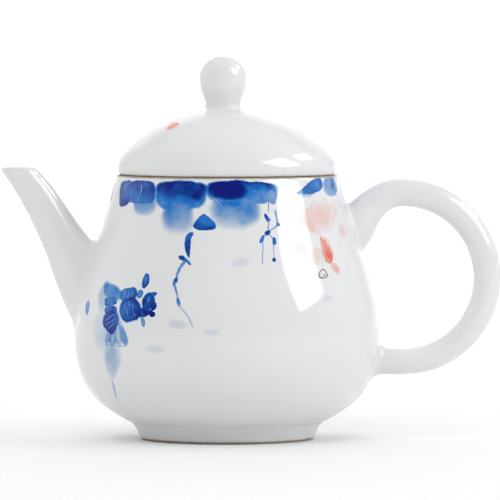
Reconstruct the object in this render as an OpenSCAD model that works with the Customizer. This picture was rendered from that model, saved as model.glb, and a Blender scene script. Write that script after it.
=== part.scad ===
// Small porcelain teapot with a round belly, a ring handle, a straight spout
// and a domed lid with an egg-shaped knob that lifts off.
// The origin is the centre of the foot's base. The spout points along -X,
// the handle along +X, and +Z is up.

/* [Pot] */
// outside radius of the belly at its widest
belly_radius = 45.8; // [38:0.1:56]
// outside radius of the pot at the rim
neck_radius = 33.3; // [27.7:0.1:40]
// height of the rim, on which the lid rests
rim_height = 79.3; // [66:0.1:96]
// thickness of the thrown wall
wall = 2.6; // [2:0.1:3.4]
// thickness of the floor
floor_thickness = 3; // [2:0.1:4.5]
// width of the rim, from the mouth to the outside
rim_width = 3.1; // [2.8:0.1:4]
// where the two thrown halves are joined, as a part of the height from the foot to the rim
join_part = 0.31; // [0.28:0.01:0.34]

/* [Foot] */
// height of the foot ring
foot_height = 5.2; // [3.5:0.1:7]
// outside radius of the foot ring where it meets the bowl
foot_top_radius = 29.2; // [24:0.1:33]
// width of the foot ring at its base
foot_width = 3.6; // [2.5:0.1:5]

/* [Lid] */
// height of the lid's dome above the rim
dome_height = 20.2; // [14:0.1:26]
// thickness of the lid
lid_thickness = 3; // [2.2:0.1:4]
// how deep the locating ring reaches into the mouth
flange_depth = 5.6; // [4:0.1:8]
// clearance all round between the locating ring and the mouth
flange_gap = 0.5; // [0.3:0.1:0.9]
// radius of the steam vent
vent_radius = 1.2; // [0.8:0.1:1.6]

/* [Knob] */
// height of the knob above the top of the dome
knob_height = 15.6; // [11:0.1:19]
// radius of the knob at its widest
knob_radius = 7.1; // [5.6:0.1:9]
// how far the hand-set knob sits off the lid's middle, towards the spout
knob_offset = 1.2; // [0:0.1:2]

/* [Handle] */
// radius of the ring handle, to the middle of its section
ring_radius = 25.4; // [21:0.1:30.5]
// thickness of the handle's section
handle_thickness = 8.2; // [6.5:0.1:10]
// how far the middle of the ring stands out from the belly
ring_offset = 6.85; // [4:0.05:10]

/* [Spout] */
// how far the middle of the spout's mouth stands out from the belly
spout_reach = 16.9; // [13:0.1:22]
// height of the spout's mouth above the rim
spout_rise = 2.3; // [0:0.1:6]
// outside radius of the spout at its mouth
tip_radius = 4.6; // [4:0.1:5.6]
// outside radius of the spout at its root
root_radius = 12.4; // [10.3:0.1:14]
// thickness of the spout's wall at its mouth
tip_wall = 1.35; // [1.1:0.05:1.6]
// radius of the round opening in the wall behind the spout
port_radius = 7.5; // [6:0.1:8]

/* [Strainer] */
// outside radius of the strainer's ball
ball_radius = 10.6; // [10:0.1:12]
// radius of each strainer hole
strainer_hole = 1.25; // [0.9:0.05:1.4]

/* [Hidden] */
$fn = 96;
cut = 1;
porcelain = [0.90, 0.91, 0.93];
biscuit = [0.86, 0.83, 0.77];
curve_steps = 5;
path_steps = 2;
handle_sides = 18;
spout_sides = 20;

// A smooth curve led by its control points c, at u from 0 to len(c) - 1.
// It starts on the first point and ends on the last.
function ghost(c, i) =
    i < 0 ? 2 * c[0] - c[1]
    : i > len(c) - 1 ? 2 * c[len(c) - 1] - c[len(c) - 2]
    : c[i];
function soft_point(c, u) =
    let (i = min(floor(u), len(c) - 2), t = u - i)
    (pow(1 - t, 3) * ghost(c, i - 1)
     + (3 * pow(t, 3) - 6 * t * t + 4) * ghost(c, i)
     + (-3 * pow(t, 3) + 3 * t * t + 3 * t + 1) * ghost(c, i + 1)
     + pow(t, 3) * ghost(c, i + 2)) / 6;
function soft_curve(c, steps) =
    [for (k = [0:steps * (len(c) - 1)]) soft_point(c, k / steps)];

// A curve that passes through every point of c.
function pass_point(c, u) =
    let (i = min(floor(u), len(c) - 2), t = u - i,
         a = ghost(c, i - 1), b = ghost(c, i), d = ghost(c, i + 1), e = ghost(c, i + 2))
    0.5 * (2 * b + (d - a) * t + (2 * a - 5 * b + 4 * d - e) * t * t
           + (3 * b - a - 3 * d + e) * pow(t, 3));
function pass_curve(c, steps) =
    [for (k = [0:steps * (len(c) - 1)]) pass_point(c, k / steps)];

// A plane curve moved sideways, to the right of its direction of travel.
function slope(c, k) =
    let (d = c[min(k + 1, len(c) - 1)] - c[max(k - 1, 0)]) d / norm(d);
function beside(c, gap) =
    [for (k = [0:len(c) - 1]) let (s = slope(c, k)) c[k] + gap * [s[1], -s[0]]];

// Pot. The profile runs from the rim down to the foot.
bowl_height = rim_height - foot_height;
swell = belly_radius - neck_radius;
tuck = belly_radius - foot_top_radius;
pot_guides = [
    [neck_radius, rim_height],
    [neck_radius + 0.28 * swell, foot_height + 0.82 * bowl_height],
    [neck_radius + 0.66 * swell, foot_height + 0.648 * bowl_height],
    [belly_radius, foot_height + 0.465 * bowl_height],
    [belly_radius + 0.4, foot_height + 0.274 * bowl_height],
    [foot_top_radius + 0.742 * tuck, foot_height + 0.095 * bowl_height],
    [foot_top_radius, foot_height]
];
pot_side = soft_curve(pot_guides, curve_steps);
pot_table = [for (p = pot_side) [p[1], p[0]]];
function pot_radius(z) = lookup(z, pot_table);

join_height = foot_height + join_part * bowl_height;
mouth_radius = neck_radius - rim_width;
rim_depth = flange_depth + 1;
rim_round = 0.7;
floor_top = foot_height + floor_thickness;
inner_side = beside(pot_side, wall);
inner_table = [for (p = inner_side) [p[1], p[0]]];
inner_wall = [for (p = inner_side) if (p[1] < rim_height - rim_depth - 1 && p[1] > floor_top + 0.4) p];

// Foot
foot_base_outer = foot_top_radius - 4;
foot_base_inner = foot_base_outer - foot_width + 1;

// Lid
lid_radius = neck_radius - 0.2;
seat_radius = lid_radius - 1.2;
dome_top = rim_height + dome_height;
dome_guides = [
    [0.980 * lid_radius, rim_height + 0.020 * dome_height],
    [1.012 * lid_radius, rim_height + 0.109 * dome_height],
    [0.966 * lid_radius, rim_height + 0.333 * dome_height],
    [0.743 * lid_radius, rim_height + 0.643 * dome_height],
    [0.631 * lid_radius, rim_height + 0.757 * dome_height],
    [0.399 * lid_radius, rim_height + 0.934 * dome_height],
    [0.215 * lid_radius, rim_height + 0.988 * dome_height],
    [0, dome_top]
];
dome_side = soft_curve(dome_guides, curve_steps);
flange_outer = mouth_radius - flange_gap;
flange_inner = flange_outer - 2.5;
dome_hollow = [for (p = beside(dome_side, -lid_thickness)) if (p[0] < flange_inner - 1 && p[0] > 0.5) p];
vent_place = 0.5 * lid_radius;

// Knob, as parts of its height and its radius.
knob_foot = dome_top - 0.6;
knob_guides = [
    [0.90 * knob_radius, knob_foot - 0.5],
    [0.68 * knob_radius, knob_foot + 0.045 * knob_height],
    [1.02 * knob_radius, knob_foot + 0.41 * knob_height],
    [1.02 * knob_radius, knob_foot + 0.62 * knob_height],
    [0.96 * knob_radius, knob_foot + 0.82 * knob_height],
    [0.41 * knob_radius, knob_foot + 1.035 * knob_height],
    [0, dome_top + knob_height]
];
knob_side = soft_curve(knob_guides, curve_steps);

// Handle. The ring's centre is level with the middle of the belly's slope.
// Each station is [distance from the axis, height, half thickness, half breadth].
half_handle = handle_thickness / 2;
half_breadth = 1.08 * half_handle;
ring_x = belly_radius + ring_offset;
ring_z = foot_height + 0.586 * bowl_height;
ring_top = ring_z + ring_radius;
ring_low = ring_z - ring_radius;
root_z = ring_top - 0.435 * ring_radius;
root_x = pot_radius(root_z);
root_dx = ring_x - root_x;
root_dz = ring_top - root_z;
arm_x = pot_radius(ring_low + 0.6);
function ring_swell(a) = half_handle * (1.005 + 0.035 * sin(a));
handle_stations = concat(
    [
        [root_x - 3.4, root_z - 1.9, 1.95 * half_handle, 1.35 * half_handle],
        [root_x, root_z + 0.4, 1.72 * half_handle, 1.25 * half_handle],
        [root_x + 0.17 * root_dx, root_z + 0.35 * root_dz, 1.38 * half_handle, 1.15 * half_handle],
        [root_x + 0.41 * root_dx, root_z + 0.70 * root_dz, 1.16 * half_handle, 1.1 * half_handle],
        [root_x + 0.70 * root_dx, root_z + 0.935 * root_dz, 1.07 * half_handle, half_breadth]
    ],
    [for (a = [90:-15:-90])
        [ring_x + ring_radius * cos(a), ring_z + ring_radius * sin(a), ring_swell(a), half_breadth]],
    [
        [arm_x + 2.2, ring_low + 0.2, half_handle, half_breadth],
        [arm_x - 0.5, ring_low + 0.3, 1.08 * half_handle, 1.15 * half_handle],
        [arm_x - 3.5, ring_low + 0.5, 1.22 * half_handle, 1.3 * half_handle]
    ]
);
handle_path = pass_curve(handle_stations, path_steps);

// Spout. It runs from inside the wall to its level mouth.
port_height = foot_height + 0.55 * bowl_height;
spout_root = [pot_radius(port_height) - 9.6, foot_height + 0.43 * bowl_height];
spout_tip = [belly_radius + spout_reach, rim_height + spout_rise];
spout_run = spout_tip - spout_root;
taper = root_radius - tip_radius;
spout_stations = [
    for (s = [[0, 0, 1], [0.210, 0.169, 0.66], [0.372, 0.339, 0.45], [0.528, 0.519, 0.245],
              [0.692, 0.704, 0.13], [0.842, 0.858, 0.055], [1, 1, 0]])
        [spout_root[0] + s[0] * spout_run[0], spout_root[1] + s[1] * spout_run[1],
         tip_radius + s[2] * taper]
];
spout_line = pass_curve(spout_stations, path_steps);
spout_end = len(spout_line) - 1;
spout_path = [for (k = [0:spout_end]) if (k <= spout_end - path_steps || k == spout_end) spout_line[k]];
function spout_wall(k) = tip_wall + 0.8 * (1 - k / (len(spout_path) - 1));

// Strainer
port_inner = lookup(port_height, inner_table);
port_run = 6;
ball_wall = 1.6;
hole_pitch = 3.5;

// A ring of points square to a plane path, at station k, with its half breadth along Y.
function path_slope(path, k) =
    let (d = path[min(k + 1, len(path) - 1)] - path[max(k - 1, 0)])
    [d[0], d[1]] / norm([d[0], d[1]]);
function tube_ring(path, k, radius, breadth, sides) =
    let (s = path_slope(path, k))
    [for (j = [0:sides - 1])
        let (a = 360 * j / sides, u = radius * cos(a))
        [path[k][0] - u * s[1], breadth * sin(a), path[k][1] + u * s[0]]];

// The same ring slid along the path's end until it lies level.
function level_ring(path, k, radius, sides) =
    let (s = path_slope(path, k), top = path[k][1])
    [for (p = tube_ring(path, k, radius, radius, sides))
        p + [s[0], 0, s[1]] * (top - p[2]) / s[1]];

// Triangles between two rings of points that start at index a and index b.
function band(a, b, sides) =
    [for (j = [0:sides - 1])
        let (n = (j + 1) % sides)
        each [[a + j, b + j, b + n], [a + j, b + n, a + n]]];

module solid_tube(path, sides) {
    count = len(path);
    points = [for (k = [0:count - 1]) each tube_ring(path, k, path[k][2], path[k][3], sides)];
    skin = [for (k = [0:count - 2]) each band(k * sides, (k + 1) * sides, sides)];
    first = [for (j = [1:sides - 2]) [0, j, j + 1]];
    last = [for (j = [1:sides - 2]) let (e = (count - 1) * sides) [e, e + j + 1, e + j]];
    polyhedron(points = points, faces = concat(skin, first, last));
}

module hollow_tube(path, sides) {
    count = len(path);
    outer = [for (k = [0:count - 1])
        each k == count - 1
            ? level_ring(path, k, path[k][2], sides)
            : tube_ring(path, k, path[k][2], path[k][2], sides)];
    inner = [for (k = [0:count - 1])
        each k == count - 1
            ? level_ring(path, k, path[k][2] - spout_wall(k), sides)
            : tube_ring(path, k, path[k][2] - spout_wall(k), path[k][2] - spout_wall(k), sides)];
    half = count * sides;
    out_skin = [for (k = [0:count - 2]) each band(k * sides, (k + 1) * sides, sides)];
    in_skin = [for (k = [0:count - 2])
        each band(half + (k + 1) * sides, half + k * sides, sides)];
    root_end = band(half, 0, sides);
    tip_end = band((count - 1) * sides, half + (count - 1) * sides, sides);
    polyhedron(points = concat(outer, inner), faces = concat(out_skin, in_skin, root_end, tip_end));
}

// The pot's outside, filled, for cutting its neighbours to fit it.
module pot_block() {
    rotate_extrude()
        polygon(concat(pot_side, [[0, foot_height], [0, rim_height]]));
}

// The pot's inside, filled.
module pot_room() {
    rotate_extrude()
        polygon(concat(
            [[0, rim_height + cut], [mouth_radius, rim_height + cut],
             [mouth_radius, rim_height - rim_depth]],
            inner_wall,
            [[lookup(floor_top, inner_table) - 0.8, floor_top], [0, floor_top]]
        ));
}

module rim_rounding() {
    rotate_extrude()
        difference() {
            translate([neck_radius - rim_round, rim_height - rim_round])
                square([rim_round + cut, rim_round + cut]);
            translate([neck_radius - rim_round, rim_height - rim_round])
                circle(r = rim_round, $fn = 24);
        }
}

// The lower half of the wall, with the floor.
module lower_body() {
    color(porcelain)
        difference() {
            pot_block();
            pot_room();
            translate([0, 0, join_height])
                cylinder(h = bowl_height, r = belly_radius + wall);
        }
}

// The upper half of the wall, with the rim and the round opening behind the spout.
module upper_body() {
    color(porcelain)
        difference() {
            pot_block();
            pot_room();
            rim_rounding();
            translate([0, 0, join_height - bowl_height])
                cylinder(h = bowl_height, r = belly_radius + wall);
            translate([-port_inner + port_run, 0, port_height])
                rotate([0, -90, 0])
                    cylinder(h = belly_radius, r = port_radius, $fn = 48);
        }
}

module foot_ring() {
    color(biscuit)
        rotate_extrude()
            polygon([
                [foot_top_radius, foot_height],
                [foot_top_radius - 1.6, 0.74 * foot_height],
                [foot_top_radius - 2.4, 0.5 * foot_height],
                [foot_top_radius - 2.9, 0.29 * foot_height],
                [foot_top_radius - 3.3, 0.13 * foot_height],
                [foot_base_outer, 0],
                [foot_base_inner, 0],
                [foot_base_inner - 0.7, 0.12 * foot_height],
                [foot_base_inner - 1.2, foot_height]
            ]);
}

module spout() {
    color(porcelain)
        difference() {
            mirror([1, 0, 0])
                hollow_tube(spout_path, spout_sides);
            pot_block();
        }
}

module strainer() {
    color(porcelain)
        difference() {
            intersection() {
                translate([-port_inner, 0, port_height])
                    sphere(r = ball_radius);
                pot_room();
            }
            translate([-port_inner, 0, port_height])
                sphere(r = ball_radius - ball_wall);
            for (ring = [0:2])
                for (k = [0:max(0, 6 * ring - 1)])
                    translate([-port_inner, 0, port_height])
                        rotate([ring == 0 ? 0 : 60 * k / ring, 0, 0])
                            translate([0, ring * hole_pitch, 0])
                                rotate([0, 90, 0])
                                    cylinder(h = ball_radius + cut, r = strainer_hole, $fn = 24);
        }
}

module handle() {
    color(porcelain)
        difference() {
            solid_tube(handle_path, handle_sides);
            pot_block();
        }
}

module lid_dome() {
    color(porcelain)
        difference() {
            rotate_extrude()
                difference() {
                    polygon(concat(
                        [[0, rim_height], [seat_radius, rim_height]],
                        dome_side
                    ));
                    polygon(concat(
                        [[0, rim_height - cut], [flange_inner, rim_height - cut],
                         [flange_inner, rim_height + 1]],
                        dome_hollow,
                        [[0, dome_top - lid_thickness]]
                    ));
                }
            translate([0, vent_place, rim_height])
                cylinder(h = dome_height + cut, r = vent_radius, $fn = 24);
        }
}

module lid_flange() {
    color(porcelain)
        rotate_extrude()
            polygon([
                [flange_outer, rim_height],
                [flange_outer, rim_height - flange_depth + 0.6],
                [flange_outer - 0.5, rim_height - flange_depth],
                [flange_inner + 0.5, rim_height - flange_depth],
                [flange_inner, rim_height - flange_depth + 0.6],
                [flange_inner, rim_height]
            ]);
}

module lid_knob() {
    color(porcelain)
        difference() {
            translate([-knob_offset, 0, 0])
                rotate_extrude()
                    polygon(concat([[0, knob_foot - 0.5]], knob_side));
            rotate_extrude()
                polygon(concat([[0, rim_height]], dome_side));
        }
}

lower_body();
upper_body();
foot_ring();
spout();
strainer();
handle();
lid_dome();
lid_flange();
lid_knob();
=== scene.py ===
"""A small porcelain teapot with a lift-off lid, painted under its glaze with
lotus leaves, duckweed and two goldfish, standing in a plain pale studio."""

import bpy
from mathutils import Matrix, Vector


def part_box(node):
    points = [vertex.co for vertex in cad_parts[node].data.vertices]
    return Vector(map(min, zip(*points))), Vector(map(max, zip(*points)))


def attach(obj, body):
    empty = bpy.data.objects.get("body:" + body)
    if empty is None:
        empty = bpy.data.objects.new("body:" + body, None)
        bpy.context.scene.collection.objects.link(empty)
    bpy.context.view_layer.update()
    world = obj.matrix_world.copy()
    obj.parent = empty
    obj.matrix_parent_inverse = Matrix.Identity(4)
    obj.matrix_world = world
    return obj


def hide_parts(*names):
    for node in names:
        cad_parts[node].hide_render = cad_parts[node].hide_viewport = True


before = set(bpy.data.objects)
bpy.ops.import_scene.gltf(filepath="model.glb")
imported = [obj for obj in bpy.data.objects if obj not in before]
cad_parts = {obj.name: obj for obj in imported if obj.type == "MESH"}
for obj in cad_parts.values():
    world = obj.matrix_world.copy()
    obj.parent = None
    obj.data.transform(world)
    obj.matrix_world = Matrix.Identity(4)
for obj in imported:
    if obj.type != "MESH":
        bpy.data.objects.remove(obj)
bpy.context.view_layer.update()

import math

import bmesh
import bpy
from bpy.props import FloatProperty, FloatVectorProperty, PointerProperty
from bpy.types import Operator, Panel, PropertyGroup
from mathutils import Matrix, Vector

bl_info = {
    "name": "Porcelain Teapot",
    "version": (1, 0, 0),
    "blender": (4, 5, 0),
    "location": "View3D > Sidebar > Teapot",
    "description": "Builds a painted porcelain teapot, its lid and a small studio",
    "category": "Object",
}

MM = 0.001
_, LOWER_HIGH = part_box("lower_body")
_, UPPER_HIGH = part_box("upper_body")
_, FOOT_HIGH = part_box("foot_ring")
DOME_LOW, DOME_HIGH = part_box("lid_dome")
KNOB_LOW, KNOB_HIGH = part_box("lid_knob")
FLANGE_LOW, FLANGE_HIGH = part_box("lid_flange")

KNOB_ASIDE = -0.5 * (KNOB_LOW.x + KNOB_HIGH.x)


# ---------------------------------------------------------------- settings


def size_of(name, text, value):
    return FloatProperty(name=name, description=text, default=value, min=0.0, unit="LENGTH", precision=5)


def colour_of(name, text, value):
    return FloatVectorProperty(
        name=name, description=text, default=value, size=3, min=0.0, max=1.0, subtype="COLOR"
    )


class TeapotSizes(PropertyGroup):
    """Sizes of the thrown and pulled pieces, in metres."""

    belly_radius: size_of("Belly radius", "Outside radius at the widest", 0.0458)
    neck_radius: size_of("Neck radius", "Outside radius at the rim", 0.0333)
    rim_height: size_of("Rim height", "Height of the rim the lid rests on", UPPER_HIGH.z)
    foot_height: size_of("Foot height", "Height of the foot ring", FOOT_HIGH.z)
    foot_radius: size_of("Foot radius", "Radius where the foot meets the bowl", FOOT_HIGH.x)
    wall: size_of("Wall", "Thickness of the pot's wall", 0.0026)
    rim_width: size_of("Rim width", "Width of the rim from the mouth outwards", 0.0031)
    dome_height: size_of("Dome height", "Height of the lid's dome above the rim", DOME_HIGH.z - DOME_LOW.z)
    lid_thickness: size_of("Lid thickness", "Thickness of the lid", 0.003)
    flange_radius: size_of("Locating ring radius", "Outside radius of the ring under the lid", FLANGE_HIGH.x)
    flange_depth: size_of("Locating ring depth", "How deep that ring reaches", FLANGE_HIGH.z - FLANGE_LOW.z)
    vent_radius: size_of("Vent radius", "Radius of the lid's steam hole", 0.0012)
    vent_reach: size_of("Vent reach", "From the lid's middle back to the steam hole", 0.01655)
    knob_height: size_of("Knob height", "Height of the knob above the dome", KNOB_HIGH.z - DOME_HIGH.z)
    knob_radius: size_of("Knob radius", "Radius of the knob at its widest", 0.0071)
    knob_offset: size_of("Knob offset", "How far the knob sits off the middle", KNOB_ASIDE)
    ring_radius: size_of("Handle ring radius", "Radius to the middle of the handle", 0.0254)
    handle_thickness: size_of("Handle thickness", "Thickness of the handle", 0.0082)
    ring_offset: size_of("Ring offset", "How far the ring's middle stands off the belly", 0.00685)
    spout_reach: size_of("Spout reach", "How far the mouth stands off the belly", 0.0169)
    spout_rise: size_of("Spout rise", "Height of the spout's mouth above the rim", 0.0023)
    tip_radius: size_of("Tip radius", "Outside radius at the spout's mouth", 0.0046)
    root_radius: size_of("Root radius", "Outside radius at the spout's root", 0.0124)


class TeapotColours(PropertyGroup):
    """Colours of the glaze, the bare clay, which also paints the shade in the lid's seam, and the pigments.
    """

    glaze: colour_of("Glaze", "Clear glaze over white clay", (0.79, 0.80, 0.81))
    glaze_warm: colour_of("Glaze, thin", "Where the glaze lies thin", (0.81, 0.81, 0.81))
    # bare clay on the foot; on the rim and the lid's seat its warm tan also paints the shade in the seam
    # between pot and lid
    clay_and_seam_shade: colour_of("Bare clay", "Unglazed clay on the foot and the seat", (0.50, 0.43, 0.34))
    gold: colour_of("Brown gold", "Outline pigment on the red fish", (0.20, 0.10, 0.02))


class StudioSettings(PropertyGroup):
    """Camera and light."""

    distance: size_of("Camera distance", "From the pot's axis to the camera", 1.95)
    height: size_of("Camera height", "Height of the camera", 0.136)
    aim_x: size_of("Aim along X", "Where the camera looks", 0.0069)
    aim_z: size_of("Aim height", "Height the camera looks at", 0.0567)
    span: size_of("View width", "Width seen at the pot's axis", 0.150)


# ---------------------------------------------------------------- profiles


def ghost(points, i):
    if i < 0:
        return points[0] * 2 - points[1]
    if i > len(points) - 1:
        return points[-1] * 2 - points[-2]
    return points[i]


def soft_curve(guides, steps):
    """A smooth curve led by its guides, from the first to the last."""
    guides = [Vector(g) for g in guides]
    out = []
    for k in range(steps * (len(guides) - 1) + 1):
        i = min(k // steps, len(guides) - 2)
        t = k / steps - i
        a, b, c, d = (ghost(guides, i + j) for j in (-1, 0, 1, 2))
        out.append(
            (
                a * (1 - t) ** 3
                + b * (3 * t**3 - 6 * t * t + 4)
                + c * (-3 * t**3 + 3 * t * t + 3 * t + 1)
                + d * t**3
            )
            / 6
        )
    return out


def pass_curve(points, steps):
    """A smooth curve through every point."""
    points = [Vector(p) for p in points]
    out = []
    for k in range(steps * (len(points) - 1) + 1):
        i = min(k // steps, len(points) - 2)
        t = k / steps - i
        a, b, c, d = (ghost(points, i + j) for j in (-1, 0, 1, 2))
        squared = a * 2 - b * 5 + c * 4 - d
        cubed = b * 3 - a - c * 3 + d
        out.append((b * 2 + (c - a) * t + squared * t * t + cubed * t**3) * 0.5)
    return out


def beside(curve, gap):
    """The curve moved to the right of its direction of travel."""
    out = []
    for k, p in enumerate(curve):
        s = (curve[min(k + 1, len(curve) - 1)] - curve[max(k - 1, 0)]).normalized()
        out.append(p + Vector((s.y, -s.x)) * gap)
    return out


def pot_side(s, steps=6):
    """The outside of the pot from the rim to the foot, as (radius, height)."""
    bowl = s.rim_height - s.foot_height
    swell = s.belly_radius - s.neck_radius
    tuck = s.belly_radius - s.foot_radius
    return soft_curve(
        [
            (s.neck_radius, s.rim_height),
            (s.neck_radius + 0.28 * swell, s.foot_height + 0.82 * bowl),
            (s.neck_radius + 0.66 * swell, s.foot_height + 0.648 * bowl),
            (s.belly_radius, s.foot_height + 0.465 * bowl),
            (s.belly_radius + 0.4 * MM, s.foot_height + 0.274 * bowl),
            (s.foot_radius + 0.742 * tuck, s.foot_height + 0.095 * bowl),
            (s.foot_radius, s.foot_height),
        ],
        steps,
    )


def radius_at(side, z):
    for a, b in zip(side, side[1:]):
        if b.y <= z <= a.y:
            return a.x + (b.x - a.x) * (a.y - z) / max(a.y - b.y, 1e-9)
    return side[0].x if z > side[0].y else side[-1].x


def dome_side(s, steps=6):
    """The top of the lid from its edge to the middle."""
    r = s.neck_radius - 0.2 * MM
    z, h = s.rim_height, s.dome_height
    return soft_curve(
        [
            (0.980 * r, z + 0.020 * h),
            (1.012 * r, z + 0.109 * h),
            (0.966 * r, z + 0.333 * h),
            (0.743 * r, z + 0.643 * h),
            (0.631 * r, z + 0.757 * h),
            (0.399 * r, z + 0.934 * h),
            (0.215 * r, z + 0.988 * h),
            (0.0, z + h),
        ],
        steps,
    )


# ---------------------------------------------------------------- meshes


def finish_piece(bm, name, body, nodes, materials, levels=1):
    """Closes the mesh, turns its faces outwards, parents it to its body and hides the CAD parts it stands
    for.
    """
    bmesh.ops.remove_doubles(bm, verts=bm.verts, dist=1e-6)
    bmesh.ops.recalc_face_normals(bm, faces=bm.faces)
    mesh = bpy.data.meshes.new(name)
    bm.to_mesh(mesh)
    bm.free()
    for polygon in mesh.polygons:
        polygon.use_smooth = True
    piece = bpy.data.objects.new(name, mesh)
    bpy.context.scene.collection.objects.link(piece)
    for material in materials:
        mesh.materials.append(material)
    if levels:
        soften = piece.modifiers.new("Soften", "SUBSURF")
        soften.levels = soften.render_levels = levels
    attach(piece, body)
    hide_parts(*nodes)
    return piece


def turn_profile(bm, profile, steps):
    """Turns a profile of (radius, height) points about the axis, as on a wheel."""
    verts = [bm.verts.new((p[0], 0.0, p[1])) for p in profile]
    edges = [bm.edges.new(pair) for pair in zip(verts, verts[1:])]
    bmesh.ops.spin(
        bm,
        geom=verts + edges,
        cent=(0, 0, 0),
        axis=(0, 0, 1),
        dvec=(0, 0, 0),
        angle=2 * math.pi,
        steps=steps,
        use_merge=True,
    )


def join_rings(bm, rings, close_ends):
    """Bridges rings of points in turn. Each starts as a circle and is set on its points."""
    last = None
    for points in rings:
        made = bmesh.ops.create_circle(bm, segments=len(points), radius=1.0)["verts"]
        for vert, place in zip(made, points):
            vert.co = place
        loop = [bm.edges.get((a, b)) for a, b in zip(made, made[1:] + made[:1])]
        if last:
            bmesh.ops.bridge_loops(bm, edges=last + loop)
        elif close_ends:
            bmesh.ops.contextual_create(bm, geom=made)
        last = loop
    if close_ends:
        bmesh.ops.contextual_create(bm, geom=made)


def ring_of(path, k, sides, grow=0.0):
    """A ring of points square to a path in the XZ plane. A station is (x, z, thickness, breadth)."""
    a, b = path[max(k - 1, 0)], path[min(k + 1, len(path) - 1)]
    along = Vector((b[0] - a[0], 0, b[1] - a[1])).normalized()
    across = Vector((-along.z, 0, along.x))
    middle = Vector((path[k][0], 0, path[k][1]))
    out = []
    for j in range(sides):
        turn = 2 * math.pi * j / sides
        out.append(
            middle
            + across * (path[k][2] + grow) * math.cos(turn)
            + Vector((0, 1, 0)) * (path[k][3] + grow) * math.sin(turn)
        )
    return out


def outside_pot(side, p):
    return math.hypot(p.x, p.y) - radius_at(side, p.z)


def onto_pot(side, p, sink):
    reach = radius_at(side, p.z) - sink
    scale = reach / math.hypot(p.x, p.y)
    return Vector((p.x * scale, p.y * scale, p.z))


def grown_root(path, sides, side, grip, steps=6, spans=30, sink=0.00004):
    """Rings for a tube that leaves the pot through a slip-blended root.

    Each line along the tube is followed to where it leaves the pot. There a
    small curve eases it onto the wall, and the rest of it is spread evenly."""
    lines = list(zip(*[ring_of(path, k, sides) for k in range(len(path))]))
    roots, runs = [], []
    for line in lines:
        cross = next(k for k in range(1, len(line)) if outside_pot(side, line[k]) > 0)
        low, high = line[cross - 1], line[cross]
        for _ in range(30):
            mid = (low + high) / 2
            low, high = (low, mid) if outside_pot(side, mid) > 0 else (mid, high)
        exit_point = (low + high) / 2
        rest = [exit_point] + list(line[cross:])
        roots.append((exit_point, rest))
    centre = sum((r[0] for r in roots), Vector()) / len(roots)
    rings = [[] for _ in range(steps + spans + 1)]
    for exit_point, rest in roots:
        lengths = [0.0]
        for a, b in zip(rest, rest[1:]):
            lengths.append(lengths[-1] + (b - a).length)

        def along(distance):
            for k in range(len(rest) - 1):
                if distance <= lengths[k + 1] or k == len(rest) - 2:
                    span = max(lengths[k + 1] - lengths[k], 1e-9)
                    return rest[k].lerp(rest[k + 1], min(max((distance - lengths[k]) / span, 0), 1))

        outwards = exit_point - centre
        normal = Vector((exit_point.x, exit_point.y, 0)).normalized()
        spread = (outwards - normal * outwards.dot(normal)).normalized()
        start = along(grip)
        foot = onto_pot(side, exit_point + spread * grip, sink)
        for i in range(steps):
            t = i / steps
            p = foot * (1 - t) ** 2 + exit_point * 2 * t * (1 - t) + start * t * t
            if outside_pot(side, p) < -sink:
                p = onto_pot(side, p, sink)
            rings[i].append(p)
        for i in range(spans + 1):
            rings[steps + i].append(along(grip + (lengths[-1] - grip) * i / spans))
    return rings


def drill(bm, place, radius):
    """Opens a round hole straight down through both skins of a closed piece."""
    bmesh.ops.remove_doubles(bm, verts=bm.verts, dist=1e-6)
    near = [f for f in bm.faces if (f.calc_center_median().xy - place).length < radius]
    bmesh.ops.delete(bm, geom=near, context="FACES")
    rim = [e for e in bm.edges if e.is_boundary]
    for vert in {v for e in rim for v in e.verts}:
        out = (vert.co.xy - place).normalized() * radius
        vert.co.x, vert.co.y = place.x + out.x, place.y + out.y
    bmesh.ops.bridge_loops(bm, edges=rim)


# ---------------------------------------------------------------- shader helpers


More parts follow.
